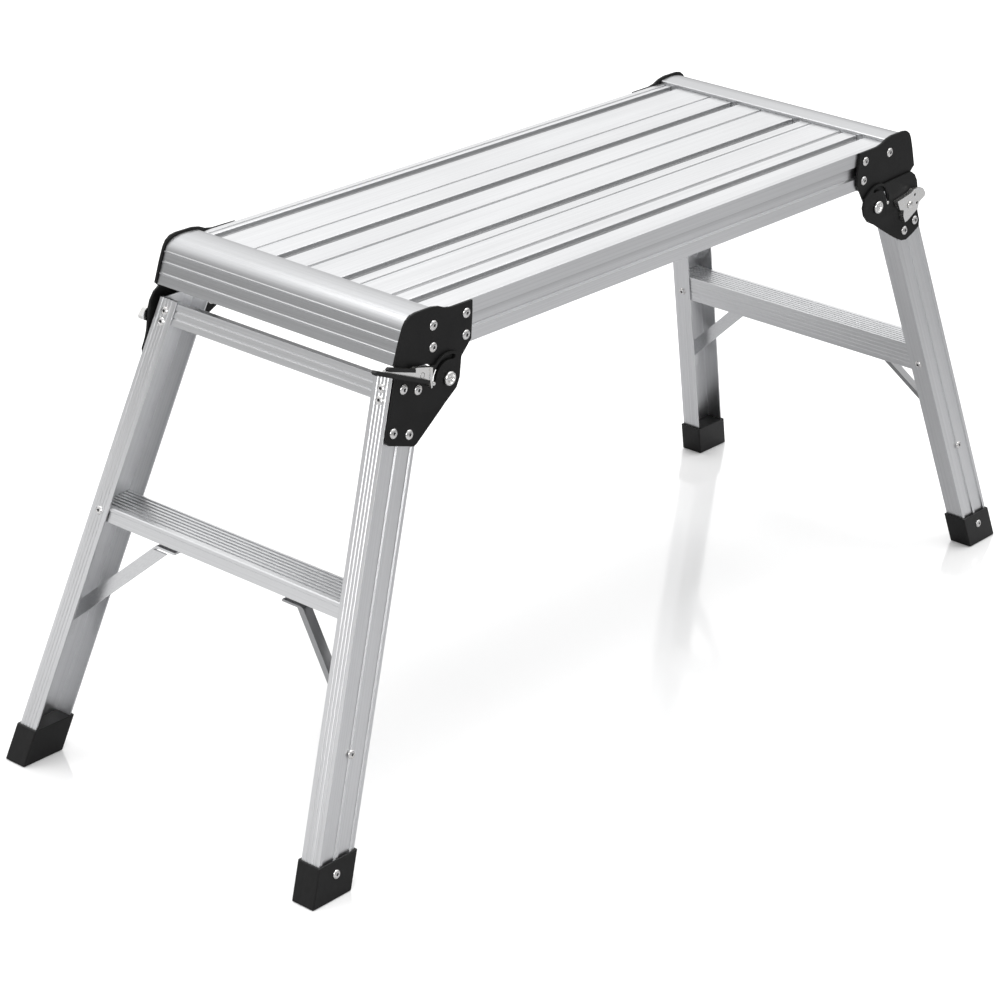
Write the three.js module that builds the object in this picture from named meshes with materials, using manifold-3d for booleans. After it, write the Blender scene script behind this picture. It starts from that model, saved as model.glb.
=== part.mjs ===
// Folding aluminium work platform, millimetres, +Z up.
// X runs along the deck, Y across it, and the origin is on the floor under the middle of the deck.
// The two ends are the same assembly, one turned half round about Z.

import * as THREE from 'three';
import { mergeVertices } from 'three/addons/utils/BufferGeometryUtils.js';
import Module from 'manifold-3d';

const wasm = await Module();
wasm.setup();

// ---------- driving dimensions ----------

const GAP = 0.3;

const DECK_TOP = 502;
const DECK_HALF_LENGTH = 356.6;
const DECK_HALF_WIDTH = 149;
const PLANK_COUNT = 3;
const PLANK_PITCH = 82.4;
const PLANK_DEPTH = 22;
const SKIN = 2;
const GROOVE_HALF_WIDTH = 6;
const GROOVE_DEPTH = 4.5;
const SCORE_DEPTH = 1.5;
// Each plank's scores as [distance from the plank's middle, width].
const PLANK_SCORES = [[[-17.6, 6], [22.4, 3]], [[5, 4.6]], [[-8.4, 3]]];
const PLANK_SHIFT = 6;
const BACK_RAIL_SCORE = [141, 3];

const RAIL_HEIGHT = 42;
const RAIL_RECESS = [474, 486.6];
const RAIL_RECESS_DEPTH = 3.4;

const NOSING_INNER = 357.2;
const NOSING_RIBS = [494.4, 485, 474.6];
const NOSING_RIB_OUT = 0.8;

const PLATE = 2.5;
const UPPER_PLATE_Y = DECK_HALF_WIDTH + GAP;
const LEG_PLATE_Y = UPPER_PLATE_Y + PLATE + GAP;
const LEVER_Y = LEG_PLATE_Y + PLATE + 0.6;
const LEVER_DEPTH = 5.6;

const PIVOT = [342.2, 436];
const PIVOT_HOLE = 5.3;
const SLOT_RADIUS = 20;
const SLOT_HALF_WIDTH = 2.4;
const STOP_PIN_RADIUS = 2;
const FOLD = THREE.MathUtils.degToRad(109);

const SPLAY_X = 0.3457;
const SPLAY_Y = 0.125;
const LEG_X_AT_TOP = 385.3;
const LEG_Y_AT_TOP = 146.5;
const LEG_TOP = 455;
const STILE_WIDTH = 46;
const STILE_DEPTH = 22;
const STILE_WALL = 1.8;
const STILE_RECESS = 1.8;
const STILE_BASE = 5;
const STILE_TOP = 452;

const FOOT_HEIGHT = 36;
const FOOT_WALL = 2.5;

const STEP_TOP = 255;
const STEP_HALF_LENGTH = 167.6;
const STEP_GROOVE = 2.4;
const STEP_RIB_COUNT = 7;
const STEP_LIP = 14;
const STEP_SKIRT = 32;
const STEP_SHELF_TOP = 233;
const STEP_SHELF = 22;

const CROSS_TOP = 450;
const CROSS_HEIGHT = 21.5;
const CROSS_DEPTH = 16;
const CROSS_HALF_LENGTH = 143.2;

const BRACE_WALL = 2;
const BRACE_HALF_WIDTH = 5.5;

// ---------- materials ----------

const finish = (color, roughness, metalness) => ({ color, roughness, metalness });
const ALUMINIUM = finish(0xd9dadb, 0.34, 0.9);
const PLATE_BLACK = finish(0x232323, 0.5, 0.2);
const ZINC = finish(0xb9bbbc, 0.35, 0.9);
const RUBBER = finish(0x262626, 0.8, 0);

// ---------- solids ----------

function toSolid(geometry) {
  const bare = geometry.clone();
  bare.deleteAttribute('normal');
  bare.deleteAttribute('uv');
  const merged = mergeVertices(bare, 1e-4);
  const vertProperties = new Float32Array(merged.attributes.position.array);
  const triVerts = new Uint32Array(merged.index.array);
  return new wasm.Manifold(new wasm.Mesh({ numProp: 3, vertProperties, triVerts }));
}

function fromSolid(solid) {
  const mesh = solid.getMesh();
  const geometry = new THREE.BufferGeometry();
  geometry.setAttribute('position', new THREE.BufferAttribute(new Float32Array(mesh.vertProperties), 3));
  geometry.setIndex(new THREE.BufferAttribute(new Uint32Array(mesh.triVerts), 1));
  return geometry;
}

const join = (...parts) => fromSolid(parts.map(toSolid).reduce((a, b) => a.add(b)));
const cut = (body, ...tools) => fromSolid(tools.map(toSolid).reduce((a, b) => a.subtract(b), toSolid(body)));

function mapPoints(geometry, move) {
  const mapped = geometry.clone();
  const position = mapped.attributes.position;
  const point = new THREE.Vector3();
  for (let i = 0; i < position.count; i += 1) {
    point.fromBufferAttribute(position, i);
    move(point);
    position.setXYZ(i, point.x, point.y, point.z);
  }
  return mapped;
}

// The same solid on the other side of the XZ plane, with its faces still pointing out.
function mirrorY(geometry) {
  const solid = mergeVertices(deleteExtras(geometry), 1e-4);
  const mirrored = mapPoints(solid, (p) => { p.y = -p.y; });
  const index = mirrored.index.array;
  for (let i = 0; i < index.length; i += 3) {
    [index[i + 1], index[i + 2]] = [index[i + 2], index[i + 1]];
  }
  return mirrored;
}

function deleteExtras(geometry) {
  const bare = geometry.clone();
  bare.deleteAttribute('normal');
  bare.deleteAttribute('uv');
  return bare;
}

const outline = (points) => new THREE.Shape(points.map(([a, b]) => new THREE.Vector2(a, b)));

const extrude = (shape, depth) => new THREE.ExtrudeGeometry(shape, {
  depth,
  bevelEnabled: false,
  curveSegments: 8,
});

// Section in Y and Z, run along X between two ends.
function runX(shape, from, to) {
  return extrude(shape, 1).applyMatrix4(new THREE.Matrix4().makeBasis(
    new THREE.Vector3(0, 1, 0),
    new THREE.Vector3(0, 0, 1),
    new THREE.Vector3(to - from, 0, 0),
  ).setPosition(from, 0, 0));
}

// Section in X and Z, run along Y from the smaller |y| outward on the front (negative) side.
function runY(shape, from, to) {
  return extrude(shape, 1).applyMatrix4(new THREE.Matrix4().makeBasis(
    new THREE.Vector3(1, 0, 0),
    new THREE.Vector3(0, 0, 1),
    new THREE.Vector3(0, -(to - from), 0),
  ).setPosition(0, -from, 0));
}

// Round bar along Y on the front side, from |y| = from to |y| = to.
function barY([x, z], radius, from, to, sides = 20) {
  const bar = new THREE.CylinderGeometry(radius, radius, to - from, sides);
  return bar.translate(x, -(from + to) / 2, z);
}

const polar = ([x, z], radius, angle) => [x + radius * Math.cos(angle), z + radius * Math.sin(angle)];

function arc(centre, radius, fromDeg, toDeg, steps) {
  const points = [];
  for (let i = 0; i <= steps; i += 1) {
    const angle = THREE.MathUtils.degToRad(fromDeg + ((toDeg - fromDeg) * i) / steps);
    points.push(polar(centre, radius, angle));
  }
  return points;
}

// ---------- deck ----------

// Half of the groove where two deck sections meet, from its middle outward.
const groovePoints = (centre, side) => [
  [centre + (side * GAP) / 2, DECK_TOP - GROOVE_DEPTH],
  [centre + side * (GROOVE_HALF_WIDTH - 0.8), DECK_TOP - GROOVE_DEPTH],
  [centre + side * (GROOVE_HALF_WIDTH - 0.5), DECK_TOP - 0.5],
  [centre + side * GROOVE_HALF_WIDTH, DECK_TOP],
];

const scorePoints = ([y, width]) => [
  [y - width / 2, DECK_TOP],
  [y - width / 2 + 0.3, DECK_TOP - SCORE_DEPTH],
  [y + width / 2 - 0.3, DECK_TOP - SCORE_DEPTH],
  [y + width / 2, DECK_TOP],
];

function plankShape(scores) {
  const half = PLANK_PITCH / 2;
  const edge = half - GAP / 2;
  const foot = DECK_TOP - PLANK_DEPTH;
  const under = DECK_TOP - SKIN - 0.4;
  const top = [
    ...groovePoints(-half, 1),
    ...scores.flatMap(scorePoints),
    ...groovePoints(half, -1).reverse(),
  ];
  const ribs = [27, 0, -27].flatMap((y) => [
    [y + 1, under],
    [y + 1, foot + 1.8],
    [y + 5, foot + 1.8],
    [y + 5, foot],
    [y - 5, foot],
    [y - 5, foot + 1.8],
    [y - 1, foot + 1.8],
    [y - 1, under],
  ]);
  const lip = (side) => [
    [side * edge, foot],
    [side * (edge - SKIN), foot],
    [side * (edge - SKIN), under - GROOVE_DEPTH],
    [side * (edge - GROOVE_HALF_WIDTH - SKIN), under - GROOVE_DEPTH],
    [side * (edge - GROOVE_HALF_WIDTH - SKIN), under],
  ];
  return outline([...top, ...lip(1), ...ribs, ...lip(-1).reverse()]);
}

// Front rail; the back one is its mirror image, with the planks shifted the other way.
function railShape(shift, scores) {
  const out = -DECK_HALF_WIDTH;
  const joint = shift - (PLANK_COUNT * PLANK_PITCH) / 2;
  const lip = joint - GAP / 2;
  const under = DECK_TOP - SKIN - 0.4;
  const foot = DECK_TOP - PLANK_DEPTH;
  const bottom = DECK_TOP - RAIL_HEIGHT;
  const [low, high] = RAIL_RECESS;
  const deep = out + RAIL_RECESS_DEPTH;
  return outline([
    [out, bottom],
    [out, low - 0.8],
    [deep, low],
    [deep, high - 0.8],
    [out, high],
    [out, DECK_TOP - 0.7],
    [out + 0.7, DECK_TOP],
    ...scores.flatMap(scorePoints),
    ...groovePoints(joint, -1).reverse(),
    [lip, foot],
    [lip - SKIN, foot],
    [lip - SKIN, under - GROOVE_DEPTH],
    [lip - GROOVE_HALF_WIDTH - SKIN, under - GROOVE_DEPTH],
    [lip - GROOVE_HALF_WIDTH - SKIN, under],
    [out + SKIN, under],
    [out + SKIN, high + 1.5],
    [deep + SKIN, high],
    [deep + SKIN, low],
    [out + SKIN, low - 1.5],
    [out + SKIN, bottom + SKIN],
    [out + 16, bottom + SKIN],
    [out + 16, bottom],
  ]);
}

const NOSING_TOP_OUT = [400.4, 496];
const NOSING_FOOT_OUT = [411.2, 464.5];

// X of the nosing's sloping outer face at a height z.
function nosingFace(z) {
  const slope = (NOSING_FOOT_OUT[0] - NOSING_TOP_OUT[0]) / (NOSING_TOP_OUT[1] - NOSING_FOOT_OUT[1]);
  return NOSING_FOOT_OUT[0] - slope * (z - NOSING_FOOT_OUT[1]);
}

function nosingShape() {
  const crown = (points) => {
    const [a, b, c, d] = points.map(([x, z]) => new THREE.Vector2(x, z));
    return new THREE.CubicBezierCurve(a, b, c, d).getPoints(14).map((p) => [p.x, p.y]);
  };
  const outside = crown([NOSING_TOP_OUT, [396.3, 508.3], [374, 507.8], [NOSING_INNER + 0.8, 505.3]]);
  const inside = crown([[NOSING_INNER + SKIN, 503.1], [373.6, 505.6], [394.6, 506], [398.2, 495.6]]);
  const rib = (z) => [
    [nosingFace(z - 1), z - 1],
    [nosingFace(z - 0.5) + NOSING_RIB_OUT, z - 0.5],
    [nosingFace(z + 0.5) + NOSING_RIB_OUT, z + 0.5],
    [nosingFace(z + 1), z + 1],
  ];
  return outline([
    [397, NOSING_FOOT_OUT[1]],
    NOSING_FOOT_OUT,
    ...[...NOSING_RIBS].reverse().flatMap(rib),
    ...outside,
    [NOSING_INNER, 504.5],
    [NOSING_INNER, 468],
    [NOSING_INNER + SKIN, 468],
    ...inside,
    [nosingFace(466.6) - 2.1, 466.6],
    [397, 466.6],
  ]);
}

// ---------- hinge plates ----------

const UPPER_TOP_EDGE = [
  [412.6, 465.6], [406.4, 485.8], [401.6, 498.6], [398.2, 504], [392.6, 507.8], [385.5, 509],
  [364, 508.9], [354, 507], [346, 503.6], [337, 502],
];

const LONG_UPPER = [
  [405.6, 459.4],
  ...UPPER_TOP_EDGE,
  [308.6, 501.6],
  [308.2, 490],
  [308.8, 464.4],
  [325.2, 447],
  ...arc(PIVOT, 15, 140, 400, 12),
  [368, 456],
];

const ROUND_UPPER = [
  [405.6, 459.4],
  ...UPPER_TOP_EDGE,
  [306.4, 501.6],
  [304.6, 482],
  [305.4, 466.6],
  [312.4, 457.6],
  [321, 445],
  ...arc(PIVOT, 15, 150, 400, 12),
  [368, 456],
];

const LONG_LEG = [
  [411.4, 458.6], [414, 449.6], [420.2, 420.4], [425.8, 401.6], [426, 397], [423.2, 394.2],
  [391, 384.6], [387.4, 385.6], [350.4, 409.4], [330.4, 423.6], [326.4, 432.6],
  ...arc(PIVOT, 25, 134, 44, 8),
];

const ROUND_LEG = [
  [404, 460.8], [411.4, 456], [416.6, 448.4], [419.4, 438], [421, 420], [426, 402], [424.4, 395.2],
  [411, 389.8], [399.6, 386.4], [391.2, 387.4], [378.6, 393.4], [357, 406], [341.2, 415.8],
  [327.6, 422.2], [319.4, 430.6], [315.8, 440], [317.6, 449.4],
  ...arc(PIVOT, 25, 124, 64, 6),
  [368, 459.6],
];

const BEND_HEIGHT = 412;

const upperPlate = (points) => cut(
  runY(outline(points), UPPER_PLATE_Y, UPPER_PLATE_Y + PLATE),
  barY(PIVOT, PIVOT_HOLE, UPPER_PLATE_Y - 1, UPPER_PLATE_Y + PLATE + 1),
);

// The leg plate is upright around the pivot and follows the splayed stile below the bend.
function legPlate(points) {
  const flat = runY(outline(points), LEG_PLATE_Y, LEG_PLATE_Y + PLATE);
  const half = (from, to) => new THREE.BoxGeometry(200, 20, to - from).translate(370, -155, (from + to) / 2);
  const above = fromSolid(toSolid(flat).intersect(toSolid(half(BEND_HEIGHT, 520))));
  const below = fromSolid(toSolid(flat).intersect(toSolid(half(300, BEND_HEIGHT))));
  const bent = mapPoints(below, (p) => { p.y -= SPLAY_Y * (BEND_HEIGHT - p.z); });
  const slot = runY(slotShape(), LEG_PLATE_Y - 1, LEG_PLATE_Y + PLATE + 1);
  const hole = barY(PIVOT, PIVOT_HOLE, LEG_PLATE_Y - 1, LEG_PLATE_Y + PLATE + 1);
  return cut(join(above, bent), slot, hole);
}

// The slot that the stop pin runs in: the leg stands at one end of it and is folded at the other.
function slotShape() {
  const spanDeg = THREE.MathUtils.radToDeg(FOLD);
  const end = (deg) => polar(PIVOT, SLOT_RADIUS, THREE.MathUtils.degToRad(deg));
  return outline([
    ...arc(PIVOT, SLOT_RADIUS + SLOT_HALF_WIDTH, 0, spanDeg, 12),
    ...arc(end(spanDeg), SLOT_HALF_WIDTH, spanDeg + 45, spanDeg + 135, 2),
    ...arc(PIVOT, SLOT_RADIUS - SLOT_HALF_WIDTH, spanDeg, 0, 12),
    ...arc(end(0), SLOT_HALF_WIDTH, 225, 315, 2),
  ]);
}

// Bolt through both plates, with a domed head outside and a nut inside.
function pivotBolt() {
  const outer = LEG_PLATE_Y + PLATE + GAP;
  const inner = UPPER_PLATE_Y - GAP;
  const profile = [
    [0, inner - 8], [4.6, inner - 8], [4.6, inner - 5.5], [8, inner - 5.5], [8, inner],
    [5, inner], [5, outer], [7, outer], [6.8, outer + 1.6], [5.4, outer + 3], [2.8, outer + 4], [0, outer + 4],
  ];
  const points = profile.map(([r, y]) => new THREE.Vector2(r, y));
  const bolt = new THREE.LatheGeometry(points, 24);
  return bolt.rotateX(Math.PI).translate(PIVOT[0], 0, PIVOT[1]);
}

function stopPin() {
  const at = polar(PIVOT, SLOT_RADIUS, 0);
  return barY(at, STOP_PIN_RADIUS, UPPER_PLATE_Y + PLATE + GAP / 3, LEG_PLATE_Y + PLATE + 0.8, 12);
}

// ---------- lock levers ----------

const ROUND_LEVER_PIN = [396.5, 427];
const LONG_LEVER_PIN = [384, 451.6];
const LEVER_HOLE = 2.9;

// Pressed cap-shaped lever that lies over the leg plate.
function roundLever() {
  const edge = [
    [372, 436], [378, 425.4], [385.4, 423.4], [385.6, 416.6], [390, 409], [394, 409.6], [413, 419.4],
    [414.4, 425.8], [424.6, 430.6], [425.4, 434], [420, 440.4], [409, 443], [402.6, 443], [397, 440],
  ];
  const inner = [
    [375.6, 434.8], [379.6, 427.4], [387.2, 425], [387.6, 417.4], [390.8, 411.6], [393, 411.8],
    [411, 421], [412.4, 427.2], [420.6, 431.6], [418.6, 438.2], [403, 440.8], [398, 438],
  ];
  const shell = runY(outline(edge), LEVER_Y, LEVER_Y + LEVER_DEPTH);
  const pocket = runY(outline(inner), LEVER_Y - 1, LEVER_Y + LEVER_DEPTH - 1.6);
  const hole = barY(ROUND_LEVER_PIN, LEVER_HOLE, LEVER_Y - 1, LEVER_Y + LEVER_DEPTH + 1, 16);
  const vents = [[404.6, 436.6], [410, 426.4]].map((at) => barY(at, 1.6, LEVER_Y, LEVER_Y + 7, 10));
  return cut(shell, pocket, hole, ...vents);
}

// Long lever: a hooked nose and a cup over the spring, tapering out to two proud blades.
function longLever() {
  const seat = LEVER_Y + LEVER_DEPTH - 2.4;
  const proud = LEVER_Y + LEVER_DEPTH + 2.4;
  const shell = runY(outline([
    [371.2, 445], [381, 443.6], [432, 466.2], [432, 469.4], [396.4, 459.2], [391.6, 461], [371.2, 456],
  ]), LEVER_Y, LEVER_Y + LEVER_DEPTH - 0.8);
  const pocket = runY(outline([
    [373.4, 447], [381.4, 446], [408, 457.6], [408, 460], [396.2, 457], [391, 458.8], [373.4, 454.4],
  ]), LEVER_Y - 1, seat);
  const hole = barY(LONG_LEVER_PIN, LEVER_HOLE, LEVER_Y - 1, LEVER_Y + LEVER_DEPTH, 16);
  const hook = runY(outline([
    [371, 436.4], [372.6, 436.4], [374.4, 446], [374.4, 456.6], [371, 455.8],
  ]), LEVER_Y + 0.6, LEVER_Y + LEVER_DEPTH);
  const lower = runY(outline([
    [378, 442.4], [449, 470.4], [450.2, 473], [447.6, 474.2], [378, 446.2],
  ]), seat, proud);
  const upper = runY(outline([
    [395, 457.8], [430.6, 468.4], [432.4, 470.8], [429.8, 472.2], [395, 461],
  ]), seat, proud - 1.4);
  return join(cut(shell, pocket, hole), hook, lower, upper);
}

// Rivet that the lever turns on, seated on the leg plate.
// The round lever's rivet has a head outside the lever, and the long one's ends flush with its cup.
function leverPin([x, z], headed) {
  const seat = LEG_PLATE_Y + PLATE + GAP / 3;
  const face = LEVER_Y + LEVER_DEPTH;
  const shank = [[0, seat], [2.5, seat]];
  const head = [[2.5, face + 0.3], [4.4, face + 0.3], [4.1, face + 1.3], [2.4, face + 2.1], [0, face + 2.3]];
  const flush = [[2.5, face - 0.8], [0, face - 0.8]];
  const points = [...shank, ...(headed ? head : flush)].map(([r, y]) => new THREE.Vector2(r, y));
  return new THREE.LatheGeometry(points, 16).rotateX(Math.PI).translate(x, 0, z);
}

class SpringPath extends THREE.Curve {
  constructor([x, z], radius, turns, pitch, start) {
    super();
    Object.assign(this, { x, z, radius, turns, pitch, start });
  }

  getPoint(t, target = new THREE.Vector3()) {
    const angle = 2 * Math.PI * this.turns * t;
    return target.set(
      this.x + this.radius * Math.cos(angle),
      -(this.start + this.pitch * this.turns * t),
      this.z + this.radius * Math.sin(angle),
    );
  }
}

// Small torsion spring wound round the lever's pin, inside the lever's pocket.
function leverSpring(pin) {
  const wire = new THREE.Shape();
  wire.absarc(0, 0, 0.45, 0, 2 * Math.PI);
  const path = new SpringPath(pin, 3.6, 2, 1.05, LEVER_Y + 0.4);
  return new THREE.ExtrudeGeometry(wire, { extrudePath: path, steps: 32, curveSegments: 3, bevelEnabled: false });
}

// ---------- leg frame ----------

const legX = (z) => LEG_X_AT_TOP + SPLAY_X * (LEG_TOP - z);
const legY = (z) => LEG_Y_AT_TOP + SPLAY_Y * (LEG_TOP - z);

// Section with a across the stile and b inward from its outer face, run down the splayed leg line.
function runLeg(shape, bottom, top) {
  return mapPoints(extrude(shape, 1), (p) => {
    const z = p.z > 0.5 ? top : bottom;
    p.set(legX(z) + p.x, p.y - legY(z), z);
  });
}

// C section: a ribbed web with a fluted outer flange and a plainer inner one.
function stileShape() {
  const half = STILE_WIDTH / 2;
  const notch = (b, depth) => [
    [half, b - 0.7], [half - depth, b], [half, b + 0.7],
  ];
  const inside = half - STILE_WALL;
  const web = STILE_WALL + STILE_RECESS;
  const flutes = [4.5, 8.5, 12.5, 16.5].flatMap((b) => notch(b, 0.6));
  const faint = [14, 7].flatMap((b) => notch(b, 0.3).reverse().map(([a, y]) => [-a, y]));
  return outline([
    [half, 0],
    ...flutes,
    [half, STILE_DEPTH],
    [inside, STILE_DEPTH],
    [inside, web],
    [-inside, web],
    [-inside, STILE_DEPTH],
    [-half, STILE_DEPTH],
    ...faint,
    [-half, 0],
    [-half + 4, 0],
    [-half + 4.5, STILE_RECESS],
    [-2.3, STILE_RECESS],
    [-1.8, 0],
    [1.8, 0],
    [2.3, STILE_RECESS],
    [half - 4.5, STILE_RECESS],
    [half - 4, 0],
  ]);
}

const stile = () => runLeg(stileShape(), STILE_BASE, STILE_TOP);

// Boot pushed over the end of the stile, filling its channel.
function foot() {
  const half = STILE_WIDTH / 2 + FOOT_WALL;
  const back = STILE_DEPTH + FOOT_WALL;
  const block = runLeg(outline([
    [half - 1, -FOOT_WALL], [half, -FOOT_WALL + 1], [half, back - 1], [half - 1, back],
    [-half + 1, back], [-half, back - 1], [-half, -FOOT_WALL + 1], [-half + 1, -FOOT_WALL],
  ]), 0, FOOT_HEIGHT);
  const inner = STILE_WIDTH / 2 + GAP;
  const hollow = inner - STILE_WALL - 2 * GAP;
  const socket = runLeg(outline([
    [inner, -GAP], [inner, STILE_DEPTH + GAP], [hollow, STILE_DEPTH + GAP], [hollow, STILE_WALL + STILE_RECESS + GAP],
    [-hollow, STILE_WALL + STILE_RECESS + GAP], [-hollow, STILE_DEPTH + GAP], [-inner, STILE_DEPTH + GAP], [-inner, -GAP],
  ]), STILE_BASE - GAP, FOOT_HEIGHT + 1);
  return cut(block, socket);
}

// A point in X and Z: a across the leg line, h up the leg line from the height z.
function onLeg(z, a, h = 0) {
  const length = Math.hypot(1, SPLAY_X);
  const height = z + h / length;
  return [legX(height) + a, height];
}

const INSIDE = STILE_WIDTH / 2 - STILE_WALL - GAP;

function stepShape() {
  const outer = (z, inset = 0) => onLeg(z, INSIDE - inset);
  const inner = (z, inset = 0) => onLeg(z, -INSIDE + inset);
  const start = inner(STEP_TOP)[0] + 3;
  const pitch = (outer(STEP_TOP)[0] - 3.4 - start) / STEP_RIB_COUNT;
  const ribs = Array.from({ length: STEP_RIB_COUNT }, (_, i) => start + pitch * i).flatMap((x) => [
    [x + 0.4, STEP_TOP - STEP_GROOVE],
    [x + pitch - 2.8, STEP_TOP - STEP_GROOVE],
    [x + pitch - 2.4, STEP_TOP],
    [x + pitch, STEP_TOP],
  ]);
  const skirtFoot = STEP_TOP - STEP_SKIRT;
  const flutes = [25, 20, 15, 10, 5].map((d) => STEP_TOP - d).flatMap((z) => [
    inner(z - 0.7), inner(z, 0.6), inner(z + 0.7),
  ]);
  return outline([
    inner(skirtFoot),
    ...flutes,
    inner(STEP_TOP - 0.8),
    [inner(STEP_TOP)[0] + 0.8, STEP_TOP],
    [start, STEP_TOP],
    ...ribs,
    [outer(STEP_TOP)[0] - 0.9, STEP_TOP],
    outer(STEP_TOP - 0.9),
    outer(STEP_TOP - 3.4),
    outer(STEP_TOP - 4.2, 1),
    outer(STEP_TOP - STEP_LIP, 1),
    outer(STEP_TOP - STEP_LIP, 3),
    outer(STEP_TOP - 4.6, 3.1),
    inner(STEP_TOP - 4.6, 2.1),
    inner(STEP_SHELF_TOP, 2.1),
    inner(STEP_SHELF_TOP, STEP_SHELF),
    inner(STEP_SHELF_TOP - 2, STEP_SHELF),
    inner(STEP_SHELF_TOP - 2, 2.1),
    inner(skirtFoot, 2.1),
  ]);
}

const step = () => runY(stepShape(), -STEP_HALF_LENGTH, STEP_HALF_LENGTH);

// Channel across the top of the leg frame, open downward, with two grooves on its outer face.
function crossShape() {
  const lean = Math.atan(SPLAY_X);
  const corner = onLeg(CROSS_TOP, INSIDE);
  const at = (depth, down) => [
    corner[0] - depth * Math.cos(lean) + down * Math.sin(lean),
    corner[1] - depth * Math.sin(lean) - down * Math.cos(lean),
  ];
  const groove = (down) => [at(0, down - 0.9), at(0.8, down - 0.3), at(0.8, down + 0.3), at(0, down + 0.9)];
  return outline([
    at(0.6, 0),
    at(0, 0.6),
    ...groove(7.6),
    ...groove(14.4),
    at(0, CROSS_HEIGHT),
    at(2, CROSS_HEIGHT),
    at(2, 2),
    at(CROSS_DEPTH - 2, 2),
    at(CROSS_DEPTH - 2, CROSS_HEIGHT),
    at(CROSS_DEPTH, CROSS_HEIGHT),
    at(CROSS_DEPTH, 0),
  ]);
}

const crossMember = () => runY(crossShape(), -CROSS_HALF_LENGTH, CROSS_HALF_LENGTH);

// Angle brace on the front side, from under the step's shelf to the inside of the stile's web.
// The strap is bent flat at both ends, and its web hangs along one edge between the bends.
function brace(webSide) {
  const stileY = (z) => legY(z) - STILE_WALL - STILE_RECESS - GAP;
  const tabZ = STEP_SHELF_TOP - 2 - GAP;
  const strap = [
    [70, tabZ], [93, tabZ], [96.6, tabZ - 1], [99.5, 227], [stileY(150.8), 150.8], [stileY(117), 117],
    [stileY(117) - BRACE_WALL, 117], [stileY(149.8) - BRACE_WALL, 149.8], [98.1, 225.5],
    [95.8, tabZ - 2.8], [92.6, tabZ - BRACE_WALL], [70, tabZ - BRACE_WALL],
  ];
  const web = [
    [79.8, 226.5], [98.4, 226.5], [stileY(151.6) - 0.6, 151.6], [stileY(130) - 0.2, 130],
  ];
  const edge = webSide * BRACE_HALF_WIDTH;
  return join(
    braceSlab(strap, -BRACE_HALF_WIDTH, BRACE_HALF_WIDTH),
    braceSlab(web, Math.min(edge, edge - webSide * BRACE_WALL), Math.max(edge, edge - webSide * BRACE_WALL)),
  );
}

// Outline in |y| and z, thickened across the stile and leant over with the leg.
function braceSlab(points, from, to) {
  const shape = outline(points.map(([y, z]) => [-y, z]));
  return mapPoints(extrude(shape, 1), (p) => {
    const across = p.z > 0.5 ? to : from;
    p.set(legX(p.y) + across, p.x, p.y);
  });
}

// ---------- assembly ----------

const platform = new THREE.Group();

function place(name, geometry, look, parent) {
  const clean = mergeVertices(deleteExtras(geometry), 1e-4);
  const flat = clean.toNonIndexed();
  flat.computeVertexNormals();
  const mesh = new THREE.Mesh(flat, new THREE.MeshStandardMaterial(look));
  mesh.name = name;
  parent.add(mesh);
}

function addDeck() {
  PLANK_SCORES.forEach((scores, i) => {
    const plank = runX(plankShape(scores), -DECK_HALF_LENGTH, DECK_HALF_LENGTH);
    const middle = (PLANK_COUNT - 1) / 2;
    const y = PLANK_SHIFT + (i - middle) * PLANK_PITCH;
    place(`deck_plank_${i + 1}`, plank.translate(0, y, 0), ALUMINIUM, platform);
  });
  const rail = (shift, scores) => runX(railShape(shift, scores), -DECK_HALF_LENGTH, DECK_HALF_LENGTH);
  const [scoreY, scoreWidth] = BACK_RAIL_SCORE;
  place('side_rail_front', rail(PLANK_SHIFT, []), ALUMINIUM, platform);
  place('side_rail_back', mirrorY(rail(-PLANK_SHIFT, [[-scoreY, scoreWidth]])), ALUMINIUM, platform);
}

// One corner, built on the front side: its plates, bolt, lever, stile, foot and brace.
function addCorner(name, isLong, toSide, end) {
  const pin = isLong ? LONG_LEVER_PIN : ROUND_LEVER_PIN;
  const add = (piece, geometry, look) => place(`${piece}_${name}`, toSide(geometry), look, end);
  add('upper_hinge_plate', upperPlate(isLong ? LONG_UPPER : ROUND_UPPER), PLATE_BLACK);
  add('leg_hinge_plate', legPlate(isLong ? LONG_LEG : ROUND_LEG), PLATE_BLACK);
  add('pivot_bolt', pivotBolt(), ZINC);
  add('stop_pin', stopPin(), ZINC);
  add('lock_lever', isLong ? longLever() : roundLever(), ZINC);
  add('lock_pin', leverPin(pin, !isLong), ZINC);
  add('lock_spring', leverSpring(pin), ZINC);
  add('stile', stile(), ALUMINIUM);
  add('foot', foot(), RUBBER);
  add('step_brace', brace(isLong ? -1 : 1), ALUMINIUM);
}

// One end of the platform: its nosing and its leg frame.
// The corner at negative Y has the round leg plate and the other has the long one.
function addEnd(name, cornerNames, turn) {
  const end = new THREE.Group();
  end.rotation.z = turn;
  platform.add(end);
  place(`end_nosing_${name}`, runY(nosingShape(), -DECK_HALF_WIDTH + 0.1, DECK_HALF_WIDTH - 0.1), ALUMINIUM, end);
  place(`cross_member_${name}`, crossMember(), ALUMINIUM, end);
  place(`step_${name}`, step(), ALUMINIUM, end);
  addCorner(`${name}_${cornerNames[0]}`, false, (geometry) => geometry, end);
  addCorner(`${name}_${cornerNames[1]}`, true, mirrorY, end);
}

addDeck();
addEnd('right', ['front', 'back'], 0);
addEnd('left', ['back', 'front'], Math.PI);

export default platform;
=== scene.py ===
"""Looks of the folding aluminium work platform: softened skins, rivets, materials and a studio."""

import math

import bmesh
import bpy
from mathutils import Matrix, Vector


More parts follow.
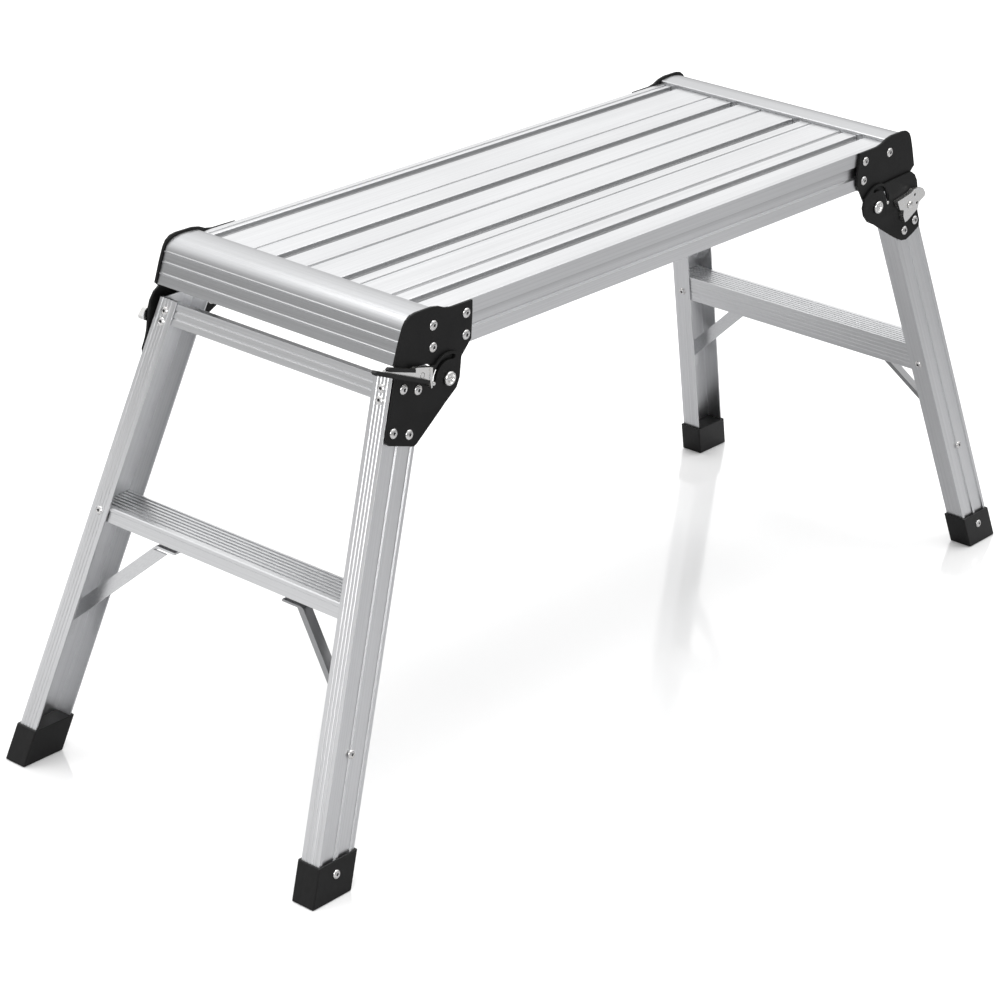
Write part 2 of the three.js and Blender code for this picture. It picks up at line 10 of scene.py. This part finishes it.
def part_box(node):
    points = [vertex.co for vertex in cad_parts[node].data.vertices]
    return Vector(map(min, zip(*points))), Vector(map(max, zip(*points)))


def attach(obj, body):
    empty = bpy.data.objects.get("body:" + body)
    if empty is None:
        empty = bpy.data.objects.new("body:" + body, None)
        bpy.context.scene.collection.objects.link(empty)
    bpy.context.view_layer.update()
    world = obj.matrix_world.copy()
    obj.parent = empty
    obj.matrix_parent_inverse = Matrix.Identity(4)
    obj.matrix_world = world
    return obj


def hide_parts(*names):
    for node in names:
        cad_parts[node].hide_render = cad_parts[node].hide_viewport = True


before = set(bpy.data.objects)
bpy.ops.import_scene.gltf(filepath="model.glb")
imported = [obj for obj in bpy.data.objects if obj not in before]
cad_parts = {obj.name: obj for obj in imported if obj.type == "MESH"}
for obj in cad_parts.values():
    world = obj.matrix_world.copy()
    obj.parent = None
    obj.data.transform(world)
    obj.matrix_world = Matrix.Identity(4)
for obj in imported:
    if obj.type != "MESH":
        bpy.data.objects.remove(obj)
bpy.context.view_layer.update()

MM = 0.001

# ---------- driving dimensions, in metres, as in the CAD part ----------

ENDS = {"right": 1, "left": -1}
SIDES = {"front": -1, "back": 1}
LONG_CORNERS = {"right_back", "left_front"}

SPLAY_X = 0.3457
SPLAY_Y = 0.125
LEG_TOP = 455 * MM
LEG_X_AT_TOP = 385.3 * MM
LEG_Y_AT_TOP = 146.5 * MM
STILE_HALF_WIDTH = 23 * MM
FOOT_WALL = 2.5 * MM

# Rivets on a stile: their heights, how far behind the web the flange rivets sit, and the brace rivet's place.
CROSS_RIVETS = (441 * MM, 431 * MM)
STEP_RIVET = 250 * MM
STEP_INNER_RIVET = 233 * MM
BRACE_RIVET = 126 * MM
BOOT_RIVET = 23 * MM
RIVET_SETBACK = 11 * MM
BRACE_RIVET_OFFSET = 1 * MM
BRACE_RIVET_SINK = 0.2 * MM

PIVOT = Vector((342.2 * MM, 0, 436 * MM))
UPPER_FACE = 151.8 * MM
LEG_FACE = 154.6 * MM
BEND_HEIGHT = 412 * MM
STOP_PIN = Vector((362.2 * MM, 0, 436 * MM))
PIVOT_SEAT = LEG_FACE + 0.3 * MM
PIVOT_NUT_FACE = 149 * MM
STOP_SEAT = 151.9 * MM

DECK_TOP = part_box("deck_plank_2")[1].z
RAIL_HEIGHT = 42 * MM
RAIL_INSIDE = 144 * MM

# Brightness of the deck's metal up the rail's height, as painted shade: darker down in its grooves, and
# darker in the recess on the rail's outer face.
GROOVE_PAINTED_SHADE = [(0.89, 0.62), (0.965, 0.66), (0.99, 1.0)]
RAIL_FACE_PAINTED_SHADE = [(0.33, 1.0), (0.45, 0.98), (0.61, 0.74), (0.633, 0.52), (0.645, 0.95)]

# Rivet places on the plates as distances from the middle of the deck and heights.
UPPER_RIVETS = {"A": (361.7, 491), "B": (361.5, 470), "C": (317, 491), "D": (316.6, 470)}
LEG_RIVETS = {"E": (403, 442), "F": (383.5, 436), "G": (416.5, 404), "H": (396.3, 397.3)}
LONG_ONLY = {"B", "E", "F"}

# Outlines of the long lever's two blades, in millimetres out from the middle and up, and the distance
# across the platform beyond which both lie.
LEVER_BLADES = [
    [(378, 442.4), (449, 470.4), (450.2, 473), (447.6, 474.2), (378, 446.2)],
    [(395, 457.8), (430.6, 468.4), (432.4, 470.8), (429.8, 472.2), (395, 461)],
]
BLADE_SEAT = 158.35

# The brace's run across and down, and its metal tone at each side: the front braces are darkened as painted
# shade.
BRACE_RUN = 0.73
BRACE_FALL = 0.68
BRACE_TONES_FRONT_PAINTED_SHADE = {"front": (0.40, 0.403, 0.41), "back": (0.80, 0.805, 0.815)}


# ---------- materials ----------

def new_material(name):
    material = bpy.data.materials.new(name)
    material.use_nodes = True
    tree = material.node_tree
    return material, tree, tree.nodes["Principled BSDF"]


def add_node(tree, kind, **values):
    node = tree.nodes.new(kind)
    for key, value in values.items():
        if hasattr(node, key):
            setattr(node, key, value)
        else:
            node.inputs[key.replace("_", " ")].default_value = value
    return node


def ramp(tree, source, stops):
    """Colour ramp from (place, grey or colour) stops."""
    node = tree.nodes.new("ShaderNodeValToRGB")
    elements = node.color_ramp.elements
    while len(elements) < len(stops):
        elements.new(0.5)
    for element, (place, tone) in zip(elements, stops):
        element.position = place
        rgb = tone if isinstance(tone, tuple) else (tone,) * 3
        element.color = (*rgb, 1)
    tree.links.new(source, node.inputs["Fac"])
    return node.outputs["Color"]


def coordinates(tree, direction, along, across):
    """Object coordinates turned so that x runs along a direction, stretched by the two lengths."""
    place = tree.nodes.new("ShaderNodeTexCoord")
    mapping = tree.nodes.new("ShaderNodeMapping")
    mapping.vector_type = "TEXTURE"
    mapping.inputs["Rotation"].default_value = Vector(direction).to_track_quat("X", "Z").to_euler()
    mapping.inputs["Scale"].default_value = (along, across, across)
    tree.links.new(place.outputs["Object"], mapping.inputs["Vector"])
    return mapping.outputs["Vector"]


def noise(tree, vector, scale, detail=3.0, roughness=0.55):
    node = add_node(tree, "ShaderNodeTexNoise", Scale=scale, Detail=detail, Roughness=roughness)
    tree.links.new(vector, node.inputs["Vector"])
    return node.outputs["Fac"]


def mix_colour(tree, blend, factor, first, second):
    node = tree.nodes.new("ShaderNodeMix")
    node.data_type = "RGBA"
    node.blend_type = blend
    node.inputs["Factor"].default_value = factor
    tree.links.new(first, node.inputs["A"])
    tree.links.new(second, node.inputs["B"])
    return node.outputs["Result"]


def bump(tree, bsdf, height, strength, distance):
    node = add_node(tree, "ShaderNodeBump", Strength=strength, Distance=distance)
    tree.links.new(height, node.inputs["Height"])
    tree.links.new(node.outputs["Normal"], bsdf.inputs["Normal"])


def aluminium(name, direction, tone=(0.80, 0.805, 0.815), rough=(0.27, 0.40)):
    """Satin extruded aluminium with die lines along the extrusion and a faint handling haze."""
    material, tree, bsdf = new_material(name)
    bsdf.inputs["Metallic"].default_value = 1.0
    lines = noise(tree, coordinates(tree, direction, 0.6, 0.0011), 1.0, 4.0, 0.7)
    haze = noise(tree, coordinates(tree, direction, 0.25, 0.06), 1.0, 3.0)
    dark = tuple(c * 0.90 for c in tone)
    light = tuple(min(1, c * 1.06) for c in tone)
    streaked = ramp(tree, lines, [(0.30, dark), (0.55, tone), (0.80, light)])
    hazed = ramp(tree, haze, [(0.35, 0.94), (0.65, 1.0)])
    tree.links.new(mix_colour(tree, "MULTIPLY", 1.0, streaked, hazed), bsdf.inputs["Base Color"])
    tree.links.new(ramp(tree, lines, [(0.25, rough[0]), (0.75, rough[1])]), bsdf.inputs["Roughness"])
    bump(tree, bsdf, lines, 0.10, 0.00012)
    return material


def deck_aluminium(name):
    """Deck aluminium with painted shade: darker down in the grooves, and banded darker by height in the
    recess on the rail's outer face.
    """
    material = aluminium(name, (1, 0, 0))
    tree = material.node_tree
    bsdf = tree.nodes["Principled BSDF"]
    place = tree.nodes.new("ShaderNodeTexCoord")
    split = tree.nodes.new("ShaderNodeSeparateXYZ")
    tree.links.new(place.outputs["Object"], split.inputs["Vector"])
    height = tree.nodes.new("ShaderNodeMapRange")
    height.inputs["From Min"].default_value = DECK_TOP - RAIL_HEIGHT
    height.inputs["From Max"].default_value = DECK_TOP
    tree.links.new(split.outputs["Z"], height.inputs["Value"])
    # Painted shade by height: darker in the grooves and in the rail's recess.
    grooves = ramp(tree, height.outputs["Result"], GROOVE_PAINTED_SHADE)
    face = ramp(tree, height.outputs["Result"], RAIL_FACE_PAINTED_SHADE)
    width = add_node(tree, "ShaderNodeMath", operation="ABSOLUTE")
    tree.links.new(split.outputs["Y"], width.inputs[0])
    outer = add_node(tree, "ShaderNodeMath", operation="GREATER_THAN")
    outer.inputs[1].default_value = RAIL_INSIDE
    tree.links.new(width.outputs["Value"], outer.inputs[0])
    shade = tree.nodes.new("ShaderNodeMix")
    shade.data_type = "RGBA"
    tree.links.new(outer.outputs["Value"], shade.inputs["Factor"])
    tree.links.new(grooves, shade.inputs["A"])
    tree.links.new(face, shade.inputs["B"])
    metal = bsdf.inputs["Base Color"].links[0].from_socket
    banded = mix_colour(tree, "MULTIPLY", 1.0, metal, shade.outputs["Result"])
    tree.links.new(banded, bsdf.inputs["Base Color"])
    return material


def powder_coat(name):
    """Near-black satin powder coat with a fine orange peel."""
    material, tree, bsdf = new_material(name)
    peel = noise(tree, coordinates(tree, (1, 0, 0), 0.001, 0.001), 0.9, 2.0)
    cloud = noise(tree, coordinates(tree, (1, 0, 0), 0.03, 0.03), 1.0, 2.0)
    tree.links.new(ramp(tree, cloud, [(0.3, 0.006), (0.7, 0.009)]), bsdf.inputs["Base Color"])
    tree.links.new(ramp(tree, peel, [(0.3, 0.42), (0.7, 0.54)]), bsdf.inputs["Roughness"])
    bsdf.inputs["Specular IOR Level"].default_value = 0.2
    bump(tree, bsdf, peel, 0.16, 0.00025)
    return material


def zinc_plate(name, tone=(0.84, 0.845, 0.85), rough=(0.16, 0.30)):
    """Bright zinc plate with a fine spangle."""
    material, tree, bsdf = new_material(name)
    bsdf.inputs["Metallic"].default_value = 1.0
    spangle = noise(tree, coordinates(tree, (1, 0, 0), 0.002, 0.002), 1.0, 4.0, 0.65)
    warm = (tone[0] * 0.99, tone[1] * 0.96, tone[2] * 0.90)
    tree.links.new(ramp(tree, spangle, [(0.3, warm), (0.6, tone)]), bsdf.inputs["Base Color"])
    tree.links.new(ramp(tree, spangle, [(0.3, rough[1]), (0.7, rough[0])]), bsdf.inputs["Roughness"])
    bump(tree, bsdf, spangle, 0.08, 0.0001)
    return material


def black_plastic(name, rough=(0.30, 0.44)):
    """Moulded black plastic with a fine spark-eroded grain."""
    material, tree, bsdf = new_material(name)
    grain = noise(tree, coordinates(tree, (1, 0, 0), 0.0009, 0.0009), 1.0, 3.0, 0.6)
    scuff = noise(tree, coordinates(tree, (0, 0, 1), 0.012, 0.004), 1.0, 3.0)
    tree.links.new(ramp(tree, scuff, [(0.35, 0.004), (0.75, 0.008)]), bsdf.inputs["Base Color"])
    tree.links.new(ramp(tree, grain, [(0.3, rough[0]), (0.7, rough[1])]), bsdf.inputs["Roughness"])
    bsdf.inputs["Specular IOR Level"].default_value = 0.3
    bump(tree, bsdf, grain, 0.14, 0.0002)
    return material


def leg_direction(end, side):
    return Vector((ENDS[end] * SPLAY_X, SIDES[side] * SPLAY_Y, -1)).normalized()


DECK_METAL = deck_aluminium("aluminium_along_deck")
# The nosing uses the deck's aluminium at a darker tone: painted shade over the whole nosing.
NOSING_METAL_PAINTED_SHADE = aluminium("aluminium_nosing", (0, 1, 0), (0.60, 0.605, 0.615))
CROSS_METAL = aluminium("aluminium_across_deck", (0, 1, 0))
COAT = powder_coat("hinge_powder_coat")
ZINC = zinc_plate("zinc_plated_steel")
RIVET_METAL = zinc_plate("rivet_aluminium", (0.80, 0.80, 0.81), (0.20, 0.32))
BOOT = black_plastic("moulded_boot")
# Near-black on the long levers' blades: painted shade on their tops and tips.
LEVER_BLADE_PAINTED_SHADE = black_plastic("lever_blade_painted_shade", (0.35, 0.5))
# Rivet stems: a steel mandrel tone darkened further as painted shade in the sunk hole.
STEM_AND_PAINTED_SHADE = zinc_plate("rivet_stem_painted_shade", (0.10, 0.10, 0.105), (0.45, 0.6))


# ---------- mesh helpers ----------

def link(name, mesh, body, material):
    """Puts a mesh in the scene as a piece that rides on a body."""
    for face in mesh.polygons:
        face.use_smooth = True
    piece = bpy.data.objects.new(name, mesh)
    bpy.context.scene.collection.objects.link(piece)
    mesh.materials.clear()
    mesh.materials.append(material)
    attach(piece, body)
    return piece


def finish_edges(piece, width, segments=2, angle=28):
    """Rounds a piece's corners and keeps its flats flat."""
    if width:
        bevel = piece.modifiers.new("rounded_edges", "BEVEL")
        bevel.width = width
        bevel.segments = segments
        bevel.limit_method = "ANGLE"
        bevel.angle_limit = math.radians(angle)
        bevel.use_clamp_overlap = True
    normals = piece.modifiers.new("flat_faces", "WEIGHTED_NORMAL")
    normals.keep_sharp = True
    return piece


def skin(node, body, material, width, angle=28):
    """A softened copy of a CAD node that is shown in its place."""
    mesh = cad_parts[node].data.copy()
    shape = bmesh.new()
    shape.from_mesh(mesh)
    bmesh.ops.remove_doubles(shape, verts=shape.verts, dist=2e-6)
    bmesh.ops.dissolve_limit(shape, angle_limit=math.radians(0.4), verts=shape.verts, edges=shape.edges)
    shape.to_mesh(mesh)
    shape.free()
    mesh.name = f"{node}_skin"
    piece = link(f"{node}_skin", mesh, body, material)
    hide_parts(node)
    return finish_edges(piece, width, angle=angle)


def spin(shape, profile, base, axis, sides):
    """Adds a body of revolution: (radius, height) pairs from the axis, out and back to the axis."""
    turn = Vector(axis).normalized().to_track_quat("Z", "Y").to_matrix()
    rings = []
    for radius, height in profile:
        if radius < 1e-7:
            rings.append([shape.verts.new(Vector(base) + turn @ Vector((0, 0, height)))])
            continue
        ring = []
        for i in range(sides):
            angle = 2 * math.pi * i / sides
            point = Vector((radius * math.cos(angle), radius * math.sin(angle), height))
            ring.append(shape.verts.new(Vector(base) + turn @ point))
        rings.append(ring)
    for low, high in zip(rings, rings[1:]):
        for i in range(sides):
            j = (i + 1) % sides
            corners = [low[i % len(low)], low[j % len(low)], high[j % len(high)], high[i % len(high)]]
            unique = list(dict.fromkeys(corners))
            shape.faces.new(unique)


def spun_piece(name, items, body, material, sides):
    """One piece of several bodies of revolution, each (profile, base, axis)."""
    shape = bmesh.new()
    for profile, base, axis in items:
        spin(shape, profile, base, axis, sides)
    bmesh.ops.recalc_face_normals(shape, faces=shape.faces)
    mesh = bpy.data.meshes.new(name)
    shape.to_mesh(mesh)
    shape.free()
    return link(name, mesh, body, material)


def rivet_profile(radius=4.9 * MM):
    """Blind rivet head: a low dome with the broken stem sunk in its middle."""
    r = radius
    return [
        (0, -0.4 * MM), (0.94 * r, -0.4 * MM), (r, 0), (0.99 * r, 0.10 * r), (0.93 * r, 0.19 * r),
        (0.80 * r, 0.29 * r), (0.62 * r, 0.37 * r), (0.46 * r, 0.405 * r), (0.38 * r, 0.40 * r),
        (0.33 * r, 0.36 * r), (0.32 * r, 0.08 * r), (0.28 * r, 0.04 * r), (0.12 * r, 0.06 * r), (0, 0.06 * r),
    ]


DIMPLE = 5
PLATE_RIVET_SIDES = 32
STILE_RIVET_SIDES = 28
STILE_RIVET_RADIUS = 4.4 * MM
PIVOT_SIDES = 48
STOP_SIDES = 24


def darken_dimples(piece, profile, sides):
    """Gives the sunk stems the dark tone of a steel mandrel, darkened further as painted shade in the sunk
    hole.
    """
    piece.data.materials.append(STEM_AND_PAINTED_SHADE)
    bands = len(profile) - 1
    for i, face in enumerate(piece.data.polygons):
        if (i // sides) % bands >= bands - DIMPLE + 1:
            face.material_index = 1


def corner(end, side, x, z, y):
    """Point at a corner of the platform from its distances out and its height."""
    return Vector((ENDS[end] * x, SIDES[side] * y, z))


def leg_x(z):
    return LEG_X_AT_TOP + SPLAY_X * (LEG_TOP - z)


def leg_y(z):
    return LEG_Y_AT_TOP + SPLAY_Y * (LEG_TOP - z)


# ---------- platform ----------

def build_platform():
    for name in ("deck_plank_1", "deck_plank_2", "deck_plank_3"):
        skin(name, "platform", DECK_METAL, 0.18 * MM)
    for name in ("side_rail_front", "side_rail_back"):
        skin(name, "platform", DECK_METAL, 0.25 * MM)
    for name in ("end_nosing_left", "end_nosing_right"):
        skin(name, "platform", NOSING_METAL_PAINTED_SHADE, 0.22 * MM, angle=24)


def plate_rivets(end, side):
    name = f"{end}_{side}"
    is_long = name in LONG_CORNERS
    out = Vector((0, SIDES[side], 0))
    upper = [
        (rivet_profile(), corner(end, side, x * MM, z * MM, UPPER_FACE), out)
        for key, (x, z) in UPPER_RIVETS.items() if is_long or key not in LONG_ONLY
    ]
    piece = spun_piece(f"plate_rivets_{name}", upper, "platform", RIVET_METAL, PLATE_RIVET_SIDES)
    darken_dimples(piece, rivet_profile(), PLATE_RIVET_SIDES)
    leg = []
    for key, (x, z) in LEG_RIVETS.items():
        if key in LONG_ONLY and not is_long:
            continue
        drop = max(0, BEND_HEIGHT - z * MM)
        axis = Vector((0, SIDES[side], SPLAY_Y)) if drop else out
        leg.append((rivet_profile(), corner(end, side, x * MM, z * MM, LEG_FACE + SPLAY_Y * drop), axis))
    piece = spun_piece(f"leg_plate_rivets_{name}", leg, f"leg_frame_{end}", RIVET_METAL,
                       PLATE_RIVET_SIDES)
    darken_dimples(piece, rivet_profile(), PLATE_RIVET_SIDES)


def millimetres(profile):
    return [(radius * MM, height * MM) for radius, height in profile]


def nut_profile():
    """The nut behind the plates and the shank, up to the head's seat."""
    low = (PIVOT_NUT_FACE - PIVOT_SEAT) / MM
    return millimetres([
        (0, low - 6.5), (4.4, low - 6.5), (4.8, low - 6), (4.8, low - 5.5), (7.6, low - 5.2),
        (8.2, low - 4.4), (8.2, low - 0.4), (8.0, low), (5, low), (5, 0),
    ])


# Radius and height of the dished pivot head with its rounded rim, and of the stop pin.
PIVOT_HEAD = millimetres([
    (6.6, 0), (7.0, 0.4), (7.0, 1.6), (6.8, 2.4), (6.3, 3.1), (5.6, 3.5), (4.9, 3.5), (4.4, 3.0), (4.0, 1.4),
    (3.5, 0.9), (2.6, 1.1), (2.0, 2.1), (1.0, 2.4), (0, 2.5),
])
STOP_PROFILE = millimetres([(0, 0), (2, 0), (2, 2.9), (1.75, 3.3), (1.2, 3.5), (0, 3.5)])


def pivot_hardware(end, side):
    """The pivot bolt with its nut behind it, and the stop pin."""
    name = f"{end}_{side}"
    out = Vector((0, SIDES[side], 0))
    bolt_place = corner(end, side, PIVOT.x, PIVOT.z, PIVOT_SEAT)
    bolt = spun_piece(f"pivot_{name}", [(nut_profile() + PIVOT_HEAD, bolt_place, out)],
                      "platform", ZINC, PIVOT_SIDES)
    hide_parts(f"pivot_bolt_{name}")
    finish_edges(bolt, 0)
    stop_place = corner(end, side, STOP_PIN.x, STOP_PIN.z, STOP_SEAT)
    stop = spun_piece(f"stop_{name}", [(STOP_PROFILE, stop_place, out)],
                      "platform", ZINC, STOP_SIDES)
    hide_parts(f"stop_pin_{name}")
    finish_edges(stop, 0)


def inside(outline, x, z):
    """Whether a point is within a convex outline, or on its edge."""
    turns = []
    for (ax, az), (bx, bz) in zip(outline, outline[1:] + outline[:1]):
        turns.append(((bx - ax) * (z - az) - (bz - az) * (x - ax)) / math.hypot(bx - ax, bz - az))
    return min(turns) > -0.3 or max(turns) < 0.3


def shade_lever_blades(piece):
    """Near-black on the two blades of a long lever beyond their seat: painted shade on their faces there."""
    piece.data.materials.append(LEVER_BLADE_PAINTED_SHADE)
    for face in piece.data.polygons:
        x, y, z = (abs(c) / MM for c in face.center)
        if y > BLADE_SEAT and any(inside(blade, x, z) for blade in LEVER_BLADES):
            face.material_index = 1


def build_hinges(end, side):
    name = f"{end}_{side}"
    frame_body = f"leg_frame_{end}"
    skin(f"upper_hinge_plate_{name}", "platform", COAT, 0.4 * MM)
    skin(f"leg_hinge_plate_{name}", frame_body, COAT, 0.4 * MM, angle=35)
    lever = skin(f"lock_lever_{name}", f"lever_{name}", ZINC, 0.3 * MM)
    if name in LONG_CORNERS:
        shade_lever_blades(lever)
    skin(f"lock_pin_{name}", frame_body, ZINC, 0.15 * MM, angle=40)
    skin(f"lock_spring_{name}", frame_body, ZINC, 0, angle=60)
    plate_rivets(end, side)
    pivot_hardware(end, side)


# ---------- leg frames ----------

def stile_rivets(end, side):
    """Rivets through the stile: cross-member, step, brace and boot."""
    sx, sy = ENDS[end], SIDES[side]
    lean = math.atan(SPLAY_X)
    flange_out = Vector((sx * math.cos(lean), 0, math.sin(lean)))
    web_out = Vector((0, sy, SPLAY_Y)).normalized()
    head = rivet_profile(STILE_RIVET_RADIUS)

    def on_flange(z, half):
        return corner(end, side, leg_x(z) + half, z, leg_y(z) - RIVET_SETBACK)

    def on_web(z, along, out):
        return corner(end, side, leg_x(z) + along, z, leg_y(z) + out)

    step_rivets = () if f"{end}_{side}" in LONG_CORNERS else (STEP_RIVET,)
    items = [(head, on_flange(z, STILE_HALF_WIDTH), flange_out) for z in (*CROSS_RIVETS, *step_rivets)]
    items.append((head, on_flange(STEP_INNER_RIVET, -STILE_HALF_WIDTH), -flange_out))
    items.append((head, on_web(BRACE_RIVET, BRACE_RIVET_OFFSET, -BRACE_RIVET_SINK), web_out))
    items.append((head, on_web(BOOT_RIVET, 0, FOOT_WALL), web_out))
    piece = spun_piece(f"stile_rivets_{end}_{side}", items, f"leg_frame_{end}", RIVET_METAL,
                       STILE_RIVET_SIDES)
    darken_dimples(piece, head, STILE_RIVET_SIDES)


def build_leg(end, side):
    name = f"{end}_{side}"
    body = f"leg_frame_{end}"
    along = leg_direction(end, side)
    metal = aluminium(f"aluminium_stile_{name}", along)
    skin(f"stile_{name}", body, metal, 0.22 * MM)
    skin(f"foot_{name}", body, BOOT, 0.9 * MM)
    run = Vector((0, SIDES[side] * BRACE_RUN, -BRACE_FALL))
    # The front braces' darker tone is painted shade.
    brace_metal = aluminium(f"aluminium_brace_{name}", run, BRACE_TONES_FRONT_PAINTED_SHADE[side])
    skin(f"step_brace_{name}", body, brace_metal, 0.3 * MM)
    stile_rivets(end, side)


def build_leg_frame(end):
    body = f"leg_frame_{end}"
    skin(f"cross_member_{end}", body, CROSS_METAL, 0.25 * MM)
    skin(f"step_{end}", body, CROSS_METAL, 0.18 * MM)
    for side in SIDES:
        build_leg(end, side)
        build_hinges(end, side)


# ---------- studio ----------

FLOOR_HALF = 14.0
FLOOR_DROP = 0.6 * MM
FLOOR_FOR_METAL = (0.44, 0.44, 0.445, 1)

# The floor's own glow grows with distance, so that it stays pale far from the lights.
FLOOR_GLOW = {"From Min": 0.8, "From Max": 3.0, "To Min": 0.07, "To Max": 0.55}

# Brightness of the sky by height, and by how nearly a direction points to its brightest side.
SKY_HEIGHT = [(0.0, 0.16), (0.08, 0.20), (0.23, 0.90), (0.34, 1.0)]
SKY_GLOW = [(0.0, 0.50), (0.25, 0.62), (0.62, 1.0), (1.0, 1.0)]
SKY_BRIGHT_SIDE = Vector((0.5, 0.4, 0.77)).normalized()
SKY_STRENGTH = 1.12

# Name, place, aim, size in metres and power in watts.
LIGHTS = [
    ("overhead", (0.2, 0.1, 3.0), (0, 0, 0.3), (2.6, 1.6), 60),
    ("left_front", (-2.6, -1.2, 1.6), (0, 0, 0.3), (1.6, 1.2), 30),
    ("low_left", (-1.75, 0.8, 0.28), (-0.45, -0.1, 0.25), (1.7, 0.5), 1.7),
]

CAMERA_PLACE = (-2.3384, -1.8692, 1.4863)
CAMERA_HEADING = math.radians(50.43)
CAMERA_PITCH = math.radians(23.95)
CAMERA_ROLL = math.radians(2.01)
CAMERA_LENS = 113.3
SENSOR_WIDTH = 36


def floor_material():
    """White floor for the camera, mid grey for the metal to reflect."""
    material, tree, bsdf = new_material("studio_floor")
    bsdf.inputs["Base Color"].default_value = (0.95, 0.95, 0.95, 1)
    bsdf.inputs["Roughness"].default_value = 0.10
    bsdf.inputs["Specular IOR Level"].default_value = 0.9
    bsdf.inputs["IOR"].default_value = 1.9
    bsdf.inputs["Emission Color"].default_value = (1, 1, 1, 1)
    place = tree.nodes.new("ShaderNodeTexCoord")
    distance = add_node(tree, "ShaderNodeVectorMath", operation="LENGTH")
    tree.links.new(place.outputs["Object"], distance.inputs[0])
    sweep = tree.nodes.new("ShaderNodeMapRange")
    for key, value in FLOOR_GLOW.items():
        sweep.inputs[key].default_value = value
    tree.links.new(distance.outputs["Value"], sweep.inputs["Value"])
    tree.links.new(sweep.outputs["Result"], bsdf.inputs["Emission Strength"])
    grey = add_node(tree, "ShaderNodeBsdfDiffuse", Color=FLOOR_FOR_METAL)
    path = tree.nodes.new("ShaderNodeLightPath")
    mix = tree.nodes.new("ShaderNodeMixShader")
    tree.links.new(path.outputs["Is Camera Ray"], mix.inputs["Fac"])
    tree.links.new(grey.outputs["BSDF"], mix.inputs[1])
    tree.links.new(bsdf.outputs["BSDF"], mix.inputs[2])
    tree.links.new(mix.outputs["Shader"], tree.nodes["Material Output"].inputs["Surface"])
    return material


def build_floor():
    mesh = bpy.data.meshes.new("floor")
    corners = [(x * FLOOR_HALF, y * FLOOR_HALF, 0) for x, y in ((-1, -1), (1, -1), (1, 1), (-1, 1))]
    mesh.from_pydata(corners, [], [(0, 1, 2, 3)])
    floor = bpy.data.objects.new("floor", mesh)
    bpy.context.scene.collection.objects.link(floor)
    floor.location.z = -FLOOR_DROP
    mesh.materials.append(floor_material())


def area_light(name, place, aim, size, power):
    data = bpy.data.lights.new(name, "AREA")
    data.shape = "RECTANGLE"
    data.size, data.size_y = size
    data.energy = power
    light = bpy.data.objects.new(name, data)
    bpy.context.scene.collection.objects.link(light)
    light.location = place
    light.rotation_euler = (Vector(aim) - Vector(place)).to_track_quat("-Z", "Y").to_euler()


def build_world():
    """A soft studio: brightest overhead to the right, falling off to the left and dark at the horizon."""
    world = bpy.data.worlds.new("studio")
    bpy.context.scene.world = world
    world.use_nodes = True
    tree = world.node_tree
    background = tree.nodes["Background"]
    place = tree.nodes.new("ShaderNodeTexCoord")
    split = tree.nodes.new("ShaderNodeSeparateXYZ")
    tree.links.new(place.outputs["Generated"], split.inputs["Vector"])
    toward = tree.nodes.new("ShaderNodeVectorMath")
    toward.operation = "DOT_PRODUCT"
    toward.inputs[1].default_value = SKY_BRIGHT_SIDE
    tree.links.new(place.outputs["Generated"], toward.inputs[0])
    height = ramp(tree, split.outputs["Z"], SKY_HEIGHT)
    glow = ramp(tree, toward.outputs["Value"], SKY_GLOW)
    sky = mix_colour(tree, "MULTIPLY", 1.0, height, glow)
    path = tree.nodes.new("ShaderNodeLightPath")
    choose = tree.nodes.new("ShaderNodeMix")
    choose.data_type = "RGBA"
    choose.inputs["B"].default_value = (1, 1, 1, 1)
    tree.links.new(path.outputs["Is Camera Ray"], choose.inputs["Factor"])
    tree.links.new(sky, choose.inputs["A"])
    tree.links.new(choose.outputs["Result"], background.inputs["Color"])
    background.inputs["Strength"].default_value = SKY_STRENGTH


def build_camera():
    """Camera at the platform's left front, above the deck, with a long lens."""
    data = bpy.data.cameras.new("camera")
    data.sensor_width = SENSOR_WIDTH
    data.lens = CAMERA_LENS
    data.clip_end = 60
    camera = bpy.data.objects.new("camera", data)
    bpy.context.scene.collection.objects.link(camera)
    ahead = Vector((math.sin(CAMERA_HEADING), math.cos(CAMERA_HEADING), 0))
    right = Vector((math.cos(CAMERA_HEADING), -math.sin(CAMERA_HEADING), 0))
    forward = ahead * math.cos(CAMERA_PITCH) - Vector((0, 0, math.sin(CAMERA_PITCH)))
    up = right.cross(forward)
    rolled_right = right * math.cos(CAMERA_ROLL) + up * math.sin(CAMERA_ROLL)
    rolled_up = up * math.cos(CAMERA_ROLL) - right * math.sin(CAMERA_ROLL)
    turn = Matrix((rolled_right, rolled_up, -forward)).transposed()
    camera.matrix_world = Matrix.Translation(CAMERA_PLACE) @ turn.to_4x4()
    bpy.context.scene.camera = camera


def build_studio():
    build_floor()
    build_world()
    build_camera()
    for light in LIGHTS:
        area_light(*light)
    view = bpy.context.scene.view_settings
    view.view_transform = "Standard"
    view.look = "None"


build_platform()
for end_name in ENDS:
    build_leg_frame(end_name)
build_studio()
